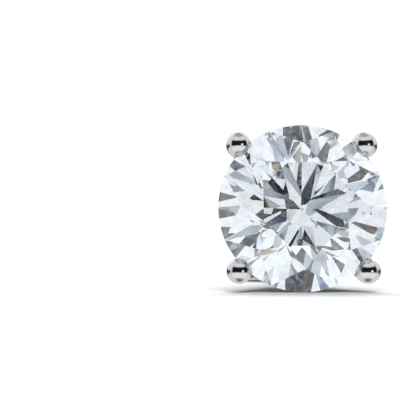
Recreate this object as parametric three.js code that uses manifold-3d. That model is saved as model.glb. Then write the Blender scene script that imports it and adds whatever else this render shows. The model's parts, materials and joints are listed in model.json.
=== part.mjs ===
// Stud earring: a round brilliant stone held by four bead-tipped wires, with a straight post and a
// butterfly ear back. It lies as it rests unworn, on the edge of the stone and of the ear back,
// with the table of the stone facing -Y. Millimetres, +Z up.
//
// Each piece is modelled about the axis of the stud: local +Z leaves the table of the stone,
// the girdle plane is local Z = 0, and the post runs towards local -Z.

import * as THREE from 'three';
import { ConvexGeometry } from 'three/addons/geometries/ConvexGeometry.js';
import { mergeVertices } from 'three/addons/utils/BufferGeometryUtils.js';
import Module from 'manifold-3d';

// ---------------------------------------------------------------------------------------------
// Driving dimensions
// ---------------------------------------------------------------------------------------------

const STONE = {
  radius: 3.25, // a one-carat round
  table: 0.525, // corner-to-corner table, as a share of the diameter
  crownAngle: THREE.MathUtils.degToRad(34.6),
  pavilionAngle: THREE.MathUtils.degToRad(40.6),
  girdle: 0.13, // height of the girdle at the corners of the kites
  starTip: 0.743, // where a star facet ends, as a share of the radius
  lowerTip: 0.198, // where two lower halves meet, as a share of the radius
  sides: 96, // facets polished round the girdle
};

const SEAT_GAP = 0.05; // between the stone and the metal cut to hold it

const PRONG = {
  beadRadius: 0.475,
  beadReach: 3.47, // from the axis to the centre of a bead
  beadHeight: 0.08, // above the girdle plane
  wireRadius: 0.42,
  footReach: 1.08, // from the axis to the middle of a wire's foot
  footDepth: 4.3, // below the girdle plane
  count: 4,
};

const RING = { depth: 2.3, wireRadius: 0.3 }; // the gallery ring soldered inside the wires

const BASE = { radius: 1.5, top: -4.05, bottom: -4.75, edge: 0.12 };

const POST = { radius: 0.42, tip: -13.4, taper: 0.35, sunk: 0.2 };

const BACK = {
  front: -10.0, // the flat side, towards the ear
  thickness: 0.3,
  width: 4.3, // across the strip
  bend: 0.75, // middle radius of the outer half turn
  curl: 0.45, // middle radius of the inner turn
  curlEnd: THREE.MathUtils.degToRad(110),
  clearance: 0.05, // between the strip and the post
  overlap: 0.2, // of the two halves of the strip, which are joined on the axis
};

// ---------------------------------------------------------------------------------------------
// Solids
// ---------------------------------------------------------------------------------------------

const wasm = await Module();
wasm.setup();

// A closed geometry as a solid that can be joined and cut.
function toSolid(geometry) {
  const bare = geometry.clone();
  bare.deleteAttribute('normal');
  bare.deleteAttribute('uv');
  const merged = mergeVertices(bare, 1e-5);
  return new wasm.Manifold(
    new wasm.Mesh({
      numProp: 3,
      vertProperties: new Float32Array(merged.attributes.position.array),
      triVerts: new Uint32Array(merged.index.array),
    }),
  );
}

function toGeometry(solid) {
  const mesh = solid.getMesh();
  const geometry = new THREE.BufferGeometry();
  geometry.setAttribute('position', new THREE.BufferAttribute(mesh.vertProperties, 3));
  geometry.setIndex(new THREE.BufferAttribute(mesh.triVerts, 1));
  geometry.computeVertexNormals();
  return geometry;
}

function join(geometries) {
  return geometries.map(toSolid).reduce((whole, next) => whole.add(next));
}

// A point at a distance from the axis, in the direction of an angle about it.
function around(reach, angle, height) {
  return new THREE.Vector3(reach * Math.cos(angle), reach * Math.sin(angle), height);
}

// ---------------------------------------------------------------------------------------------
// Stone
// ---------------------------------------------------------------------------------------------

// Height of the plane through three points, at a place given by its reach and angle.
function planeHeight(a, b, c, reach, angle) {
  const plane = new THREE.Plane().setFromCoplanarPoints(a, b, c);
  const place = around(reach, angle, 0);
  return -(plane.normal.x * place.x + plane.normal.y * place.y + plane.constant) / plane.normal.z;
}

// The corners of a round brilliant. The kites and the pavilion mains point at the odd sixteenths
// of a turn, and the stars and the pairs of halves at the even ones. The halves are planes too,
// so they cut a scalloped line along the girdle.
function brilliantCorners() {
  const { radius, girdle, crownAngle, pavilionAngle, sides } = STONE;
  const half = girdle / 2;
  const tableReach = STONE.table * radius;
  const crownHeight = half + (radius - tableReach) * Math.tan(crownAngle);
  const sixteenth = Math.PI / 8;
  const inward = Math.cos(sixteenth);
  const starReach = STONE.starTip * radius;
  const starHeight = crownHeight - (starReach * inward - tableReach) * Math.tan(crownAngle);
  const lowerReach = STONE.lowerTip * radius;
  const lowerHeight = -half - (radius - lowerReach * inward) * Math.tan(pavilionAngle);

  const corners = [around(0, 0, -half - radius * Math.tan(pavilionAngle))];
  for (let k = 0; k < 8; k++) {
    const kite = (2 * k + 1) * sixteenth;
    const star = 2 * k * sixteenth;
    corners.push(around(tableReach, kite, crownHeight));
    corners.push(around(starReach, star, starHeight));
    corners.push(around(lowerReach, star, lowerHeight));
  }

  const onHalf = (tipReach, tipHeight, edgeHeight, offset) =>
    planeHeight(
      around(radius, sixteenth, edgeHeight),
      around(tipReach, 0, tipHeight),
      around(radius, 0, edgeHeight),
      radius,
      offset,
    );
  for (let side = 0; side < sides; side++) {
    const angle = (side / sides) * 2 * Math.PI;
    const pair = Math.round(angle / (2 * sixteenth)) * 2 * sixteenth;
    const offset = Math.abs(angle - pair);
    corners.push(around(radius, angle, onHalf(starReach, starHeight, half, offset)));
    corners.push(around(radius, angle, onHalf(lowerReach, lowerHeight, -half, offset)));
  }
  return corners;
}

function stoneGeometry() {
  return new ConvexGeometry(brilliantCorners());
}

// ---------------------------------------------------------------------------------------------
// Setting: beads, wires, gallery ring, base and post, soldered into one
// ---------------------------------------------------------------------------------------------

function prongGeometries(angle) {
  const bead = around(PRONG.beadReach, angle, PRONG.beadHeight);
  const foot = around(PRONG.footReach, angle, -PRONG.footDepth);
  const wire = new THREE.CylinderGeometry(
    PRONG.wireRadius,
    PRONG.wireRadius,
    bead.distanceTo(foot),
    24,
  );
  const direction = bead.clone().sub(foot).normalize();
  wire.applyQuaternion(
    new THREE.Quaternion().setFromUnitVectors(new THREE.Vector3(0, 1, 0), direction),
  );
  wire.translate(...bead.clone().add(foot).divideScalar(2).toArray());
  const ball = new THREE.SphereGeometry(PRONG.beadRadius, 24, 16);
  ball.translate(...bead.toArray());
  return [ball, wire];
}

// A closed profile of reach and height turned about the axis of the stud.
function turned(profile, segments) {
  const points = profile.map(([reach, height]) => new THREE.Vector2(reach, height));
  return new THREE.LatheGeometry(points, segments).rotateX(Math.PI / 2);
}

function baseGeometry() {
  const { radius, top, bottom, edge } = BASE;
  return turned(
    [
      [0, bottom],
      [radius - edge, bottom],
      [radius, bottom + edge],
      [radius, top - edge],
      [radius - edge, top],
      [0, top],
    ],
    48,
  );
}

function postGeometry() {
  const { radius, tip, taper, sunk } = POST;
  return turned(
    [
      [0, tip],
      [radius * 0.5, tip],
      [radius * 0.85, tip + taper * 0.35],
      [radius, tip + taper],
      [radius, BASE.bottom + sunk],
      [0, BASE.bottom + sunk],
    ],
    32,
  );
}

function ringGeometry() {
  const climb = (PRONG.footDepth - RING.depth) / (PRONG.footDepth + PRONG.beadHeight);
  const reach = THREE.MathUtils.lerp(PRONG.footReach, PRONG.beadReach, climb);
  const ring = new THREE.TorusGeometry(reach, RING.wireRadius, 12, 48);
  ring.translate(0, 0, -RING.depth);
  return ring;
}

function settingGeometry() {
  const pieces = [baseGeometry(), postGeometry(), ringGeometry()];
  for (let k = 0; k < PRONG.count; k++) {
    pieces.push(...prongGeometries(((2 * k + 1) * Math.PI) / PRONG.count));
  }
  const grown = (STONE.radius + SEAT_GAP) / STONE.radius;
  const seat = stoneGeometry().scale(grown, grown, grown);
  return toGeometry(join(pieces).subtract(toSolid(seat)));
}

// ---------------------------------------------------------------------------------------------
// Ear back: one strip, flat against the ear, with both ends curled round to grip the post
// ---------------------------------------------------------------------------------------------

const curlCentre = POST.radius + BACK.clearance + BACK.thickness / 2 + BACK.curl;
const backRear = BACK.front - BACK.thickness - 2 * BACK.bend;

function curlGeometry() {
  const { thickness, width, bend, curl, curlEnd } = BACK;
  const t = thickness / 2;
  const quarter = Math.PI / 2;
  const inner = curl - 2 * bend;
  const end = curlEnd - 2 * Math.PI;
  const outline = new THREE.Shape();
  outline.moveTo(-BACK.overlap, t);
  outline.lineTo(curlCentre, t);
  outline.absarc(curlCentre, -bend, bend + t, quarter, -quarter, true);
  outline.absarc(curlCentre, inner, curl + t, -quarter, end, true);
  outline.absarc(curlCentre, inner, curl - t, end, -quarter, false);
  outline.absarc(curlCentre, -bend, bend - t, -quarter, quarter, false);
  outline.lineTo(-BACK.overlap, -t);
  const strip = new THREE.ExtrudeGeometry(outline, {
    depth: width,
    bevelEnabled: false,
    curveSegments: 20,
  });
  return strip.translate(0, 0, -width / 2).rotateX(Math.PI / 2);
}

function earBackGeometry() {
  const strip = join([curlGeometry(), curlGeometry().rotateZ(Math.PI)]);
  const bore = POST.radius + BACK.clearance;
  const hole = new THREE.CylinderGeometry(bore, bore, 4 * BACK.thickness, 32);
  const bored = toGeometry(strip.subtract(toSolid(hole.rotateX(Math.PI / 2))));
  return bored.translate(0, 0, BACK.front - BACK.thickness / 2);
}

// ---------------------------------------------------------------------------------------------
// Assembly
// ---------------------------------------------------------------------------------------------

function piece(name, geometry, material) {
  const mesh = new THREE.Mesh(geometry, new THREE.MeshStandardMaterial(material));
  mesh.name = name;
  return mesh;
}

const WHITE_METAL = { color: 0xd4d4d6, roughness: 0.12, metalness: 1 };

const stud = new THREE.Group();
stud.add(
  piece('stone', stoneGeometry(), { color: 0xf1f5fa, roughness: 0, metalness: 0 }),
  piece('setting', settingGeometry(), WHITE_METAL),
  piece('ear_back', earBackGeometry(), WHITE_METAL),
);

// The stud leans back until the lower edge of the girdle and the rear of the ear back both touch.
const lean = Math.atan2(STONE.radius - BACK.width / 2, -backRear - STONE.girdle / 2);
stud.rotation.x = Math.PI / 2 - lean;

const group = new THREE.Group();
group.add(stud);
group.updateMatrixWorld(true);
const box = new THREE.Box3().setFromObject(group, true);
const middle = box.getCenter(new THREE.Vector3());
stud.position.set(-middle.x, -middle.y, -box.min.z);
group.updateMatrixWorld(true);

export default group;
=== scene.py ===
# %% [markdown]
# # A stud earring
#
# A round brilliant stone held by four bead-tipped wires, with a post and a butterfly ear back. The
# imported model gives the frame that every piece is placed in. It is loaded first.

# %% Load the frame
import json
import math

import bmesh
import bpy
import numpy as np
from mathutils import Matrix, Vector


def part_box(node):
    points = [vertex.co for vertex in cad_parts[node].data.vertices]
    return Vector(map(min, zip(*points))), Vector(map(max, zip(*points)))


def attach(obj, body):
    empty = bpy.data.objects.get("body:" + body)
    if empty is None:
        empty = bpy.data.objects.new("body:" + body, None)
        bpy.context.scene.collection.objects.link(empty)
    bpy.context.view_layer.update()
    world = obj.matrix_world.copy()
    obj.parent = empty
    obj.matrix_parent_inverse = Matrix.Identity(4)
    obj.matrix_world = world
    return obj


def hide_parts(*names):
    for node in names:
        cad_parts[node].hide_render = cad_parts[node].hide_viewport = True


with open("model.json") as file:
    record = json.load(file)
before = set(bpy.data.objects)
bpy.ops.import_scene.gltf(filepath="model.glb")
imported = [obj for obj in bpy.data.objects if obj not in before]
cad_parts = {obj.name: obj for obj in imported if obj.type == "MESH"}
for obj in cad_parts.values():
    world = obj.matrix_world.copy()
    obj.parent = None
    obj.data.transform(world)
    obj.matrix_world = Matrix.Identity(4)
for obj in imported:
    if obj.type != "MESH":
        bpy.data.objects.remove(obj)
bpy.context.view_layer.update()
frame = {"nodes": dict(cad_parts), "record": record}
print("nodes:", sorted(frame["nodes"]))

# %% [markdown]
# A jeweller works along the axis of the stud: the table of the stone looks up, the girdle lies at
# height 0 and the post hangs down. The pieces are modelled that way in millimetres, and one matrix
# lays them down where the frame has them. The lean comes from the flat back of the setting, whose
# outward direction the record gives, and the rest from the box round the stone: half its width is
# the radius, the lower edge of the girdle touches the floor, and the culet is its rearmost point.

# %% The axis of the stud
MM = 0.001
GIRDLE = 0.13
PAVILION_ANGLE = math.radians(40.6)

mounts = {m["name"]: m for m in frame["record"]["mounts"]}
rearward = Vector(mounts["setting_back"]["axis"])
lean = math.atan2(-rearward.z, rearward.y)
stone_low, stone_high = (Vector(corner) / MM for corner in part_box("stone"))
RADIUS = (stone_high.x - stone_low.x) / 2
DEPTH = GIRDLE / 2 + RADIUS * math.tan(PAVILION_ANGLE)
girdle_centre = Vector(
    (
        (stone_high.x + stone_low.x) / 2,
        stone_high.y - DEPTH * math.cos(lean),
        stone_low.z + RADIUS * math.cos(lean) + GIRDLE / 2 * math.sin(lean),
    )
)
LAY_DOWN = (
    Matrix.Diagonal((MM, MM, MM, 1))
    @ Matrix.Translation(girdle_centre)
    @ Matrix.Rotation(math.pi / 2 - lean, 4, "X")
)
print("lean", round(math.degrees(lean), 2), "radius", round(RADIUS, 3), "centre", girdle_centre)

# %% [markdown]
# Colours are written as the sRGB hex values that a paint or metal chart gives, and one function
# turns them to the linear values that the shaders work in. One more adds a node to a material.


# %% Colours and nodes
def linear(hex_colour, alpha=1.0):
    """An sRGB hex colour as linear red, green, blue and alpha."""
    parts = [int(hex_colour[i : i + 2], 16) / 255 for i in (1, 3, 5)]
    curve = [c / 12.92 if c <= 0.04045 else ((c + 0.055) / 1.055) ** 2.4 for c in parts]
    return (*curve, alpha)


def add_node(tree, kind, settings=None, links=None):
    """Adds a node of a kind, sets its properties and sockets by name, and links its inputs."""
    node = tree.nodes.new(kind)
    for name, value in (settings or {}).items():
        if isinstance(name, str) and hasattr(node, name):
            setattr(node, name, value)
        else:
            node.inputs[name].default_value = value
    for name, source in (links or {}).items():
        tree.links.new(source, node.inputs[name])
    return node


def new_material(name):
    """An empty material with its output node."""
    material = bpy.data.materials.new(name)
    material.use_nodes = True
    material.node_tree.nodes.clear()
    output = add_node(material.node_tree, "ShaderNodeOutputMaterial")
    return material, material.node_tree, output


def make_object(name, bm, materials):
    """Lays a mesh modelled about the stud's axis down in the frame, as an object at the origin."""
    bmesh.ops.transform(bm, matrix=LAY_DOWN, verts=bm.verts)
    mesh = bpy.data.meshes.new(name)
    bm.to_mesh(mesh)
    bm.free()
    for material in materials:
        mesh.materials.append(material)
    piece = bpy.data.objects.new(name, mesh)
    bpy.context.scene.collection.objects.link(piece)
    return piece


# %% [markdown]
# ## The stone
#
# A diamond splits white light, because its refractive index is 2.407 for red and 2.451 for violet.
# A path tracer has one index for each surface, so the split is made where light enters: the outer
# side of each facet is three glasses in equal parts, a red, a green and a blue one, with an index
# each. Inside, all light follows one index, so a path keeps the colour that it came in with. The
# spread is a little wider than the real one, so that a stone a few pixels wide still shows fire.

# %% Diamond, polished
FIRE = (
    ("red", (2, 0.5, 0.5, 1), 2.39),
    ("green", (0.5, 2, 0.5, 1), 2.417),
    ("blue", (0.5, 0.5, 2, 1), 2.455),
)


def polished_diamond(roughness=0.0):
    """Clear diamond. With no roughness it is a polished facet."""
    material, tree, output = new_material("diamond_polished" if not roughness else "diamond_bruted")
    glasses = [
        add_node(
            tree,
            "ShaderNodeBsdfGlass",
            {"label": name, "Color": colour, "IOR": index, "Roughness": roughness},
        )
        for name, colour, index in FIRE
    ]
    first = add_node(
        tree,
        "ShaderNodeMixShader",
        {"Fac": 1 / 2},
        {1: glasses[0].outputs[0], 2: glasses[1].outputs[0]},
    )
    entering = add_node(
        tree, "ShaderNodeMixShader", {"Fac": 1 / 3}, {1: first.outputs[0], 2: glasses[2].outputs[0]}
    )
    inside = add_node(
        tree, "ShaderNodeBsdfGlass", {"Color": (1, 1, 1, 1), "IOR": 2.417, "Roughness": roughness}
    )
    side = add_node(tree, "ShaderNodeNewGeometry")
    both = add_node(
        tree,
        "ShaderNodeMixShader",
        {},
        {0: side.outputs["Backfacing"], 1: entering.outputs[0], 2: inside.outputs[0]},
    )
    tree.links.new(both.outputs[0], output.inputs["Surface"])
    return material


diamond = polished_diamond()

# %% [markdown]
# A cutter grinds one flat facet after another on a turned blank. The mesh is made the same way: a
# cylinder is sliced by a plane for each facet, the waste is dropped and the cut is closed by one
# face. The crown has 8 kites at the odd sixteenths of a turn, 8 stars and 16 upper halves, and the
# pavilion 8 mains and 16 lower halves. Where facets meet in a point, the plane is worked out from
# those meeting points.

# %% Proportions of the brilliant
TABLE = 0.525 * RADIUS
CROWN_ANGLE = math.radians(34.6)
STAR_TIP = 0.743 * RADIUS
LOWER_TIP = 0.198 * RADIUS
GIRDLE_SIDES = 96
SIXTEENTH = math.pi / 8
CROWN = GIRDLE / 2 + (RADIUS - TABLE) * math.tan(CROWN_ANGLE)
MEET = 1e-4  # mm; closer than this, a corner lies on the plane that is cut


def around(reach, angle, height):
    """A point at a distance from the axis, in the direction of an angle about it."""
    return Vector((reach * math.cos(angle), reach * math.sin(angle), height))


def grind(bm, corner, across, along):
    """Grinds away what lies outside the plane of three points, and closes the cut."""
    normal = (across - corner).cross(along - corner).normalized()
    if normal.dot(corner) < 0:
        normal.negate()
    cut = bmesh.ops.bisect_plane(
        bm,
        geom=bm.verts[:] + bm.edges[:] + bm.faces[:],
        dist=MEET,
        plane_co=corner,
        plane_no=normal,
        clear_outer=True,
    )
    rim = [e for e in cut["geom_cut"] if isinstance(e, bmesh.types.BMEdge) and e.is_boundary]
    if rim:
        bmesh.ops.contextual_create(bm, geom=rim)


def brilliant(grown=1.0):
    """The cut stone as a bmesh, about the axis of the stud."""
    bm = bmesh.new()
    bmesh.ops.create_cone(
        bm,
        cap_ends=True,
        segments=GIRDLE_SIDES,
        radius1=RADIUS,
        radius2=RADIUS,
        depth=4 * RADIUS,
        matrix=Matrix.Rotation(math.pi / 2, 4, "Z"),
    )
    half = GIRDLE / 2
    inward = math.cos(SIXTEENTH)
    star_height = CROWN - (STAR_TIP * inward - TABLE) * math.tan(CROWN_ANGLE)
    lower_height = -half - (RADIUS - LOWER_TIP * inward) * math.tan(PAVILION_ANGLE)
    culet = Vector((0, 0, -DEPTH))
    grind(bm, around(TABLE, 0, CROWN), around(TABLE, 2, CROWN), around(TABLE, 4, CROWN))
    for k in range(8):
        kite = (2 * k + 1) * SIXTEENTH
        star = 2 * k * SIXTEENTH
        tip = around(STAR_TIP, star, star_height)
        next_tip = around(STAR_TIP, star + 2 * SIXTEENTH, star_height)
        grind(bm, around(TABLE, kite, CROWN), tip, next_tip)
        lower_tip = around(LOWER_TIP, star, lower_height)
        next_lower = around(LOWER_TIP, star + 2 * SIXTEENTH, lower_height)
        grind(bm, culet, lower_tip, next_lower)
    for k in range(8):
        star = 2 * k * SIXTEENTH
        tip = around(STAR_TIP, star, star_height)
        corners = [around(TABLE, star + s * SIXTEENTH, CROWN) for s in (-1, 1)]
        grind(bm, tip, *corners)
        for s in (-1, 1):
            edge = around(RADIUS, star, half)
            grind(bm, tip, edge, around(RADIUS, star + s * SIXTEENTH, half))
            edge = around(RADIUS, star, -half)
            lower_tip = around(LOWER_TIP, star, lower_height)
            grind(bm, lower_tip, edge, around(RADIUS, star + s * SIXTEENTH, -half))
    bmesh.ops.scale(bm, vec=(grown,) * 3, verts=bm.verts)
    return bm


def make_stone():
    bm = brilliant()
    bmesh.ops.recalc_face_normals(bm, faces=bm.faces)
    print("stone:", len(bm.faces), "faces,", len(bm.verts), "corners, closed",
          all(e.is_manifold for e in bm.edges))
    stone = make_object("stone_cut", bm, [diamond])
    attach(stone, "root")
    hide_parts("stone")
    return stone


stone = make_stone()

# %% [markdown]
# ## The metal
#
# White gold is plated with rhodium, a hard grey-white metal that takes a mirror polish. Handling
# leaves hairlines too fine to see one by one, which widen each reflection a little.

# %% Rhodium plate, mirror-polished
def rhodium_plate():
    material, tree, output = new_material("rhodium_plate_polished")
    place = add_node(tree, "ShaderNodeTexCoord")
    wipe = add_node(
        tree, "ShaderNodeMapping", {"Scale": (2500, 9000, 2500)}, {"Vector": place.outputs["Object"]}
    )
    hairlines = add_node(
        tree, "ShaderNodeTexNoise", {"Scale": 1.0, "Detail": 3}, {"Vector": wipe.outputs[0]}
    )
    bump = add_node(
        tree,
        "ShaderNodeBump",
        {"Strength": 0.02, "Distance": 0.00001},
        {"Height": hairlines.outputs["Fac"]},
    )
    roughness = add_node(
        tree,
        "ShaderNodeMapRange",
        {"To Min": 0.04, "To Max": 0.1},
        {"Value": hairlines.outputs["Fac"]},
    )
    metal = add_node(
        tree,
        "ShaderNodeBsdfPrincipled",
        {"Base Color": linear("#E2E2E3"), "Metallic": 1.0},
        {"Roughness": roughness.outputs[0], "Normal": bump.outputs[0]},
    )
    tree.links.new(metal.outputs[0], output.inputs["Surface"])
    return material


rhodium = rhodium_plate()

# %% [markdown]
# The setting is four wires, each with a bead melted up on its end, a gallery ring that ties them
# together, a base and a post, all soldered into one. Overlapping shapes would meet in hard lines,
# where a jeweller's joint has a small fillet of solder. So the shapes are first made roughly, from a
# bmesh sphere, cones and spun outlines, and fused by a voxel remesh. Then each point is moved onto
# the exact surface: the distances to all the shapes are blended over the width of the fillet, and
# the point steps along that distance until it is zero.

# %% Dimensions of the setting, in millimetres
BEAD_RADIUS = 0.475
BEAD = Vector((3.47, 0.08))  # reach from the axis, and height above the girdle
WIRE_RADIUS = 0.42
FOOT = Vector((1.08, -4.3))
PRONG_ANGLES = [(2 * k + 1) * math.pi / 4 for k in range(4)]
RING_DEPTH = 2.3
RING_RADIUS = 0.3
BASE_RADIUS, BASE_TOP, BASE_BOTTOM = 1.5, -4.05, -4.75
POST_RADIUS, POST_TIP = 0.42, -13.4
FILLET = 0.14
ring_reach = FOOT.x + (BEAD.x - FOOT.x) * (-RING_DEPTH - FOOT.y) / (BEAD.y - FOOT.y)


# %% Rough shapes
def spin_outline(bm, outline, steps):
    """Turns an outline of (reach, height) points about the axis, and closes its poles."""
    points = [bm.verts.new((reach, 0, height)) for reach, height in outline]
    edges = [bm.edges.new(pair) for pair in zip(points, points[1:])]
    bmesh.ops.spin(
        bm,
        geom=points + edges,
        cent=(0, 0, 0),
        axis=(0, 0, 1),
        dvec=(0, 0, 0),
        angle=2 * math.pi,
        steps=steps,
        use_merge=True,
    )
    bmesh.ops.remove_doubles(bm, verts=bm.verts, dist=MEET)


def rough_setting():
    bm = bmesh.new()
    for angle in PRONG_ANGLES:
        bead, foot = around(BEAD.x, angle, BEAD.y), around(FOOT.x, angle, FOOT.y)
        run = bead - foot
        turn = run.to_track_quat("Z", "Y").to_matrix().to_4x4()
        bmesh.ops.create_cone(
            bm,
            cap_ends=True,
            segments=32,
            radius1=WIRE_RADIUS,
            radius2=WIRE_RADIUS,
            depth=run.length,
            matrix=Matrix.Translation((bead + foot) / 2) @ turn,
        )
        bmesh.ops.create_icosphere(
            bm, subdivisions=4, radius=BEAD_RADIUS, matrix=Matrix.Translation(bead)
        )
    spun = (
        [(0, BASE_BOTTOM), (BASE_RADIUS, BASE_BOTTOM), (BASE_RADIUS, BASE_TOP), (0, BASE_TOP)],
        [(0, POST_TIP), (POST_RADIUS, POST_TIP), (POST_RADIUS, BASE_TOP), (0, BASE_TOP)],
    )
    for outline in spun:
        part = bmesh.new()
        spin_outline(part, outline, 48)
        add_shape(bm, part)
    part = bmesh.new()
    circle = bmesh.ops.create_circle(
        part,
        segments=16,
        radius=RING_RADIUS,
        matrix=Matrix.Translation((ring_reach, 0, -RING_DEPTH)) @ Matrix.Rotation(math.pi / 2, 4, "X"),
    )
    edges = list({e for v in circle["verts"] for e in v.link_edges})
    bmesh.ops.spin(
        part,
        geom=circle["verts"] + edges,
        cent=(0, 0, 0),
        axis=(0, 0, 1),
        dvec=(0, 0, 0),
        angle=2 * math.pi,
        steps=64,
        use_merge=True,
    )
    add_shape(bm, part)
    return bm


def add_shape(bm, part):
    """Adds a closed shape to a bmesh, faces outwards."""
    bmesh.ops.recalc_face_normals(part, faces=part.faces)
    held = bpy.data.meshes.new("held")
    part.to_mesh(held)
    part.free()
    bm.from_mesh(held)
    bpy.data.meshes.remove(held)


# %% Distance to the soldered metal
def rounded_turning(points, radius, low, high, edge):
    """Distance to a cylinder about the axis with rounded edges."""
    out = np.hypot(points[:, 0], points[:, 1]) - radius + edge
    up = np.abs(points[:, 2] - (low + high) / 2) - (high - low) / 2 + edge
    outside = np.hypot(np.maximum(out, 0), np.maximum(up, 0))
    return outside + np.minimum(np.maximum(out, up), 0) - edge


def wire_distance(points, angle):
    foot = np.array(around(FOOT.x, angle, FOOT.y))
    bead = np.array(around(BEAD.x, angle, BEAD.y))
    run = bead - foot
    share = np.clip((points - foot) @ run / (run @ run), 0, 1)
    return np.linalg.norm(points - foot - share[:, None] * run, axis=1) - WIRE_RADIUS


def metal_distance(points):
    """Signed distance to all the metal, blended over the width of the fillet where shapes meet."""
    reach = np.hypot(points[:, 0], points[:, 1])
    shapes = [
        rounded_turning(points, BASE_RADIUS, BASE_BOTTOM, BASE_TOP, 0.1),
        rounded_turning(points, POST_RADIUS, POST_TIP, BASE_TOP, 0.3),
        np.hypot(reach - ring_reach, points[:, 2] + RING_DEPTH) - RING_RADIUS,
    ]
    for angle in PRONG_ANGLES:
        bead = np.array(around(BEAD.x, angle, BEAD.y))
        shapes.append(wire_distance(points, angle))
        shapes.append(np.linalg.norm(points - bead, axis=1) - BEAD_RADIUS)
    whole = shapes[0]
    for shape in shapes[1:]:
        near = np.maximum(FILLET - np.abs(whole - shape), 0) / FILLET
        whole = np.minimum(whole, shape) - near**2 * FILLET / 4
    return whole


def onto_metal(points, steps=6, reach=0.002):
    """Moves points along the slope of the distance until they lie on the surface."""
    for _ in range(steps):
        slope = np.stack(
            [
                (metal_distance(points + reach * axis) - metal_distance(points - reach * axis))
                / (2 * reach)
                for axis in np.eye(3)
            ],
            axis=1,
        )
        steep = np.maximum((slope**2).sum(axis=1), 0.1)
        points = points - slope * (metal_distance(points) / steep)[:, None]
    return points


# %% [markdown]
# The seat for the stone is cut last, by taking away a slightly larger stone, as a setter cuts a
# bearing with a bur. The cut keeps its sharp edge, and the rest is shaded smooth.

# %% Fuse, smooth and cut the seat
VOXEL = 0.045  # mm
SEAT_GAP = 0.05


def bake_modifiers(piece):
    """The piece's mesh with its modifiers applied."""
    graph = bpy.context.evaluated_depsgraph_get()
    mesh = bpy.data.meshes.new_from_object(piece.evaluated_get(graph), depsgraph=graph)
    return mesh


def loose_object(name, bm):
    mesh = bpy.data.meshes.new(name)
    bm.to_mesh(mesh)
    bm.free()
    piece = bpy.data.objects.new(name, mesh)
    bpy.context.scene.collection.objects.link(piece)
    return piece


def discard(piece):
    mesh = piece.data
    bpy.data.objects.remove(piece)
    bpy.data.meshes.remove(mesh)


def make_setting():
    blank = loose_object("blank", rough_setting())
    fuse = blank.modifiers.new("fuse", "REMESH")
    fuse.mode = "VOXEL"
    fuse.voxel_size = VOXEL
    fused = bake_modifiers(blank)
    discard(blank)
    points = np.empty(len(fused.vertices) * 3)
    fused.vertices.foreach_get("co", points)
    fused.vertices.foreach_set("co", onto_metal(points.reshape(-1, 3)).ravel())
    blank = bpy.data.objects.new("blank", fused)
    bpy.context.scene.collection.objects.link(blank)
    bur = loose_object("bur", brilliant(1 + SEAT_GAP / RADIUS))
    cut = blank.modifiers.new("seat", "BOOLEAN")
    cut.operation = "DIFFERENCE"
    cut.solver = "EXACT"
    cut.object = bur
    seated = bake_modifiers(blank)
    discard(blank)
    discard(bur)
    bm = bmesh.new()
    bm.from_mesh(seated)
    bpy.data.meshes.remove(seated)
    bmesh.ops.dissolve_degenerate(bm, edges=bm.edges, dist=MEET)
    for face in bm.faces:
        face.smooth = True
    for edge in bm.edges:
        edge.smooth = edge.is_manifold and edge.calc_face_angle() < math.radians(35)
    print("setting:", len(bm.faces), "faces, closed", all(e.is_manifold for e in bm.edges))
    setting = make_object("setting_soldered", bm, [rhodium])
    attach(setting, "root")
    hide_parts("setting")
    return setting


setting = make_setting()

# %% [markdown]
# ## The ear back
#
# A butterfly back is one strip of sheet metal, pierced in the middle, with both ends rolled round
# until they press on the post from two sides. It is bent here as it is on the bench: the strip
# starts as its edge on the axis, is drawn out straight, turned round a wide bend and then round a
# tighter one. Solidify gives it the thickness of the sheet and Bevel eases the sheared edges.

# %% Dimensions of the ear back, in millimetres
BACK_FRONT = -10.0
SHEET = 0.3
STRIP_WIDTH = 4.3
BEND = 0.75
CURL = 0.45
CURL_TURN = math.radians(160)
BACK_CLEARANCE = 0.05
curl_reach = POST_RADIUS + BACK_CLEARANCE + SHEET / 2 + CURL


# %% Bend the strip
def bend(bm, edge, centre, turn, steps):
    """Turns the last edge of the strip about a line across it, and returns the new last edge."""
    spun = bmesh.ops.spin(
        bm,
        geom=[edge, *edge.verts],
        cent=centre,
        axis=(0, 1, 0),
        dvec=(0, 0, 0),
        angle=turn,
        steps=steps,
    )
    return next(e for e in spun["geom_last"] if isinstance(e, bmesh.types.BMEdge))


def bent_strip():
    bm = bmesh.new()
    middle = BACK_FRONT - SHEET / 2
    ends = [bm.verts.new((0, side * STRIP_WIDTH / 2, middle)) for side in (-1, 1)]
    edge = bm.edges.new(ends)
    drawn = bmesh.ops.extrude_edge_only(bm, edges=[edge])["geom"]
    moved = [v for v in drawn if isinstance(v, bmesh.types.BMVert)]
    bmesh.ops.translate(bm, vec=(curl_reach, 0, 0), verts=moved)
    last = next(e for e in drawn if isinstance(e, bmesh.types.BMEdge))
    last = bend(bm, last, (curl_reach, 0, middle - BEND), math.pi, 32)
    bend(bm, last, (curl_reach, 0, middle - 2 * BEND + CURL), CURL_TURN, 24)
    bmesh.ops.mirror(bm, geom=bm.verts[:] + bm.edges[:] + bm.faces[:], axis="X", merge_dist=MEET)
    bmesh.ops.remove_doubles(bm, verts=bm.verts, dist=MEET)
    bmesh.ops.recalc_face_normals(bm, faces=bm.faces)
    return bm


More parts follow.
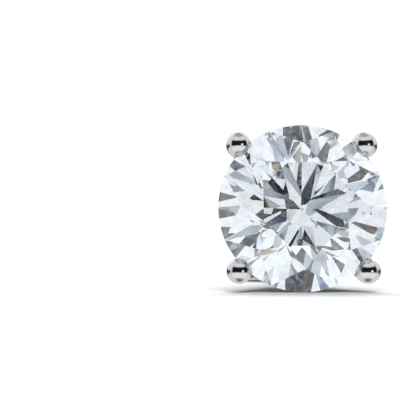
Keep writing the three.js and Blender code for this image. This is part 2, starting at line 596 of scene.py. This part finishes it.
def make_ear_back():
    strip = loose_object("strip", bent_strip())
    sheet = strip.modifiers.new("sheet", "SOLIDIFY")
    sheet.thickness = SHEET
    sheet.offset = 0
    drill = bmesh.new()
    bore = POST_RADIUS + BACK_CLEARANCE
    bmesh.ops.create_cone(
        drill,
        cap_ends=True,
        segments=64,
        radius1=bore,
        radius2=bore,
        depth=4 * SHEET,
        matrix=Matrix.Translation((0, 0, BACK_FRONT - SHEET / 2)),
    )
    drill = loose_object("drill", drill)
    pierce = strip.modifiers.new("pierce", "BOOLEAN")
    pierce.operation = "DIFFERENCE"
    pierce.solver = "EXACT"
    pierce.object = drill
    ease = strip.modifiers.new("ease", "BEVEL")
    ease.width = 0.05
    ease.segments = 3
    ease.limit_method = "ANGLE"
    ease.angle_limit = math.radians(40)
    made = bake_modifiers(strip)
    discard(strip)
    discard(drill)
    bm = bmesh.new()
    bm.from_mesh(made)
    bpy.data.meshes.remove(made)
    for face in bm.faces:
        face.smooth = True
    for edge in bm.edges:
        edge.smooth = edge.is_manifold and edge.calc_face_angle() < math.radians(35)
    print("ear back:", len(bm.faces), "faces, closed", all(e.is_manifold for e in bm.edges))
    back = make_object("ear_back_bent", bm, [rhodium])
    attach(back, "root")
    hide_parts("ear_back")
    return back


ear_back = make_ear_back()

# %% [markdown]
# ## Studio
#
# The stud rests on a glossy white sheet. Such a small shiny thing shows little but its surroundings,
# so these are built as for a jewellery still: a pale grey tent with a large soft box high in front, a
# white board low in front, and black flags between them. The stone gathers all of it, and each facet
# picks either a soft box or a flag. Below the horizon, dark patches are painted shade: they stand for
# the sheet in the stud's own shadow, which reflected and refracted rays don't see. The tent is drawn
# in the world, by azimuth and elevation, and anyone who looks straight at it sees plain white.

# %% Soft boxes and flags
# name, colour, level, azimuth from the front, elevation, half width, half height, in degrees
TENT = ("#CFDFEE", 0.5)
TENT_SIDES = ("#E2EAF2", 0.45)
THROUGH_STONE = (
    ("soft box high in front", "#F4F9FF", 1.05, 0, 35, 65, 25),
    ("white board low in front", "#EEF5FD", 1.05, 0, -30, 65, 25),
    ("tall flag on the left", "#7C8FA4", 0.01, -30, 5, 10, 30),
    ("tall flag on the right", "#7C8FA4", 0.01, 45, 5, 10, 35),
    ("side flag on the left", "#7C8FA4", 0.01, -70, 0, 15, 20),
    ("side flag on the right", "#7C8FA4", 0.01, 80, 5, 10, 20),
    ("lens", "#6A7078", 0.02, 5, 0, 5, 10),
    ("ceiling", "#8FA9BC", 0.02, 0, 75, 90, 15),
    ("dark corner behind, on the left", "#7C8FA4", 0.02, -120, 40, 25, 25),
    ("dark corner behind, on the right", "#7C8FA4", 0.02, 120, 40, 25, 25),
    # painted shade: near-black patches below the horizon stand for the sheet in the stud's shadow
    ("painted shade on the sheet in front, under the stud", "#7C8FA4", 0.02, 0, -75, 90, 15),
    ("painted shade on the sheet behind the stud", "#7C8FA4", 0.02, 180, -60, 60, 30),
)
# what polished surfaces mirror: the sheet, the dark room behind the lens, the tent above, and painted
# shade on the sheet under the stud
MIRRORED = (
    ("white sheet, behind", "#FFFFFF", 0.8, 180, -38, 92, 27),
    ("dark horizon behind", "#6C7884", 0.04, 180, -2, 90, 9),
    ("panel behind, on the right", "#FDFDFF", 1.1, 148, 32, 18, 24),
    ("panel behind, on the left", "#FDFDFF", 1.1, -148, 32, 18, 24),
    ("panel on the right", "#FDFDFF", 0.95, 106, 34, 14, 28),
    ("panel on the left", "#FDFDFF", 0.95, -106, 34, 14, 28),
    ("front of the tent", "#FDFDFF", 0.85, 0, 31, 86, 42),
    ("white sheet", "#FFFFFF", 0.95, 0, -31, 84, 30),
    ("dark room behind the lens", "#808890", 0.012, 3, 13, 76, 24),
    ("lamp beside the lens", "#FFFFFF", 1.8, 30, 0, 7, 5),
    # painted shade: a dark patch straight down stands for the sheet in the stud's shadow
    ("under the stud", "#808890", 0.2, 0, -84, 180, 10),
)
SHARP, SOFT = 3.0, 12.0  # degrees over which an edge fades


def math_node(tree, operation, *values):
    """A Math node; a value is a number or another node's output."""
    node = add_node(tree, "ShaderNodeMath", {"operation": operation})
    for slot, value in enumerate(values):
        if isinstance(value, (int, float)):
            node.inputs[slot].default_value = value
        else:
            tree.links.new(value, node.inputs[slot])
    return node.outputs[0]


def tinted(hex_colour, level):
    """A tint at a level of brightness, which the tint itself leaves as it is."""
    colour = linear(hex_colour)[:3]
    grey = sum(colour) / 3
    return (*(c / grey * level for c in colour), 1)


def draw_surroundings(tree, azimuth, elevation, tent, boxes, fade):
    """Draws soft boxes and flags over the tent one by one, and returns the colour."""
    shown = None
    for name, colour, level, turn, height, half_width, half_height in boxes:
        across = math_node(tree, "WRAP", math_node(tree, "SUBTRACT", azimuth, turn), 180.0, -180.0)
        across = math_node(tree, "SUBTRACT", math_node(tree, "ABSOLUTE", across), half_width)
        along = math_node(tree, "ABSOLUTE", math_node(tree, "SUBTRACT", elevation, height))
        along = math_node(tree, "SUBTRACT", along, half_height)
        inside = add_node(
            tree,
            "ShaderNodeMapRange",
            {
                "From Min": fade / 2,
                "From Max": -fade / 2,
                "To Min": 0.0,
                "To Max": 1.0,
            },
            {"Value": math_node(tree, "MAXIMUM", across, along)},
        )
        mix = add_node(tree, "ShaderNodeMix", {"data_type": "RGBA", "label": name})
        tree.links.new(inside.outputs[0], mix.inputs[0])
        mix.inputs[6].default_value = tinted(*tent)
        if shown:
            tree.links.new(shown, mix.inputs[6])
        mix.inputs[7].default_value = tinted(colour, level)
        shown = mix.outputs[2]
    return shown


# %% World
def make_world():
    world = bpy.data.worlds.new("studio")
    bpy.context.scene.world = world
    world.use_nodes = True
    tree = world.node_tree
    tree.nodes.clear()
    way = add_node(tree, "ShaderNodeTexCoord")
    parts = add_node(tree, "ShaderNodeSeparateXYZ", {}, {0: way.outputs["Generated"]})
    x, y, z = parts.outputs
    front = math_node(tree, "MULTIPLY", y, -1.0)
    azimuth = math_node(tree, "DEGREES", math_node(tree, "ARCTAN2", x, front))
    elevation = math_node(tree, "DEGREES", math_node(tree, "ARCSINE", z))
    through = draw_surroundings(tree, azimuth, elevation, TENT, THROUGH_STONE, SHARP)
    mirrored = draw_surroundings(tree, azimuth, elevation, TENT_SIDES, MIRRORED, SOFT)
    path = add_node(tree, "ShaderNodeLightPath")
    tent = add_node(tree, "ShaderNodeMix", {"data_type": "RGBA"})
    for slot, source in ((0, path.outputs["Is Reflection Ray"]), (6, through), (7, mirrored)):
        tree.links.new(source, tent.inputs[slot])
    studio = add_node(
        tree, "ShaderNodeBackground", {"Strength": 1.0}, {"Color": tent.outputs[2]}
    )
    sheet = add_node(tree, "ShaderNodeBackground", {"Color": (1, 1, 1, 1), "Strength": 0.35})
    plain = add_node(tree, "ShaderNodeBackground", {"Color": (1, 1, 1, 1), "Strength": 1.0})
    shining = add_node(
        tree,
        "ShaderNodeMixShader",
        {},
        {0: path.outputs["Is Diffuse Ray"], 1: studio.outputs[0], 2: sheet.outputs[0]},
    )
    seen = add_node(
        tree,
        "ShaderNodeMixShader",
        {},
        {0: path.outputs["Is Camera Ray"], 1: shining.outputs[0], 2: plain.outputs[0]},
    )
    output = add_node(tree, "ShaderNodeOutputWorld")
    tree.links.new(seen.outputs[0], output.inputs["Surface"])
    print("studio:", len(THROUGH_STONE) + len(MIRRORED), "soft boxes and flags")


make_world()

# %% [markdown]
# The sheet is lit by two wide soft lights overhead, one a little behind the stud and one a little in
# front, so that the shadow gathers under it. The stone and the metal look past them, into the tent.

# %% Floor and overhead lights
def make_floor():
    material, tree, output = new_material("white_acrylic_sheet")
    matt = add_node(tree, "ShaderNodeBsdfDiffuse", {"Color": linear("#F6F8FA")})
    gloss = add_node(tree, "ShaderNodeBsdfGlossy", {"Color": (1, 1, 1, 1), "Roughness": 0.08})
    sheet = add_node(
        tree, "ShaderNodeMixShader", {"Fac": 0.06}, {1: matt.outputs[0], 2: gloss.outputs[0]}
    )
    tree.links.new(sheet.outputs[0], output.inputs["Surface"])
    bm = bmesh.new()
    bmesh.ops.create_grid(bm, x_segments=1, y_segments=1, size=0.3)
    mesh = bpy.data.meshes.new("floor")
    bm.to_mesh(mesh)
    bm.free()
    mesh.materials.append(material)
    floor = bpy.data.objects.new("floor", mesh)
    floor.visible_glossy = False
    floor.visible_transmission = False
    bpy.context.scene.collection.objects.link(floor)


make_floor()


def soft_light(name, strength, spread, way):
    """A distant light that comes from a direction, soft by the angle that it fills."""
    lamp = bpy.data.lights.new(name, "SUN")
    lamp.energy = strength
    lamp.angle = math.radians(spread)
    light = bpy.data.objects.new(name, lamp)
    light.rotation_mode = "QUATERNION"
    light.rotation_quaternion = Vector(way).to_track_quat("Z", "Y")
    light.visible_camera = False
    light.visible_glossy = False
    light.visible_transmission = False
    bpy.context.scene.collection.objects.link(light)


soft_light("overhead_behind", 1.7, 30, (0, 0.45, 1))
soft_light("overhead_in_front", 1.5, 30, (0, -0.6, 1))

# %% Camera
CAMERA_DISTANCE = 35.4  # mm, from the girdle
FOCAL = 82.4
LOOKS_UP = math.radians(2.8)
OFFSET = (3.96, -0.30)  # mm, of the stone from the middle of the view, at that distance


def make_camera():
    camera = bpy.data.objects.new("camera", bpy.data.cameras.new("camera"))
    camera.data.lens = FOCAL
    camera.data.sensor_width = 36
    camera.data.clip_start = 0.001
    camera.data.clip_end = 10
    forward = Vector((0, math.cos(LOOKS_UP), math.sin(LOOKS_UP)))
    up = Vector((0, -math.sin(LOOKS_UP), math.cos(LOOKS_UP)))
    place = girdle_centre - CAMERA_DISTANCE * forward - OFFSET[0] * Vector((1, 0, 0)) - OFFSET[1] * up
    camera.location = place * MM
    camera.rotation_mode = "QUATERNION"
    camera.rotation_quaternion = forward.to_track_quat("-Z", "Y")
    bpy.context.scene.collection.objects.link(camera)
    bpy.context.scene.camera = camera
    print("camera at", [round(c, 3) for c in place], "mm")


make_camera()

# %% Light paths
scene = bpy.context.scene
scene.view_settings.view_transform = "Standard"
scene.cycles.max_bounces = 32
scene.cycles.glossy_bounces = 32
scene.cycles.transmission_bounces = 32
scene.cycles.transparent_max_bounces = 8
scene.cycles.caustics_reflective = False
scene.cycles.caustics_refractive = False
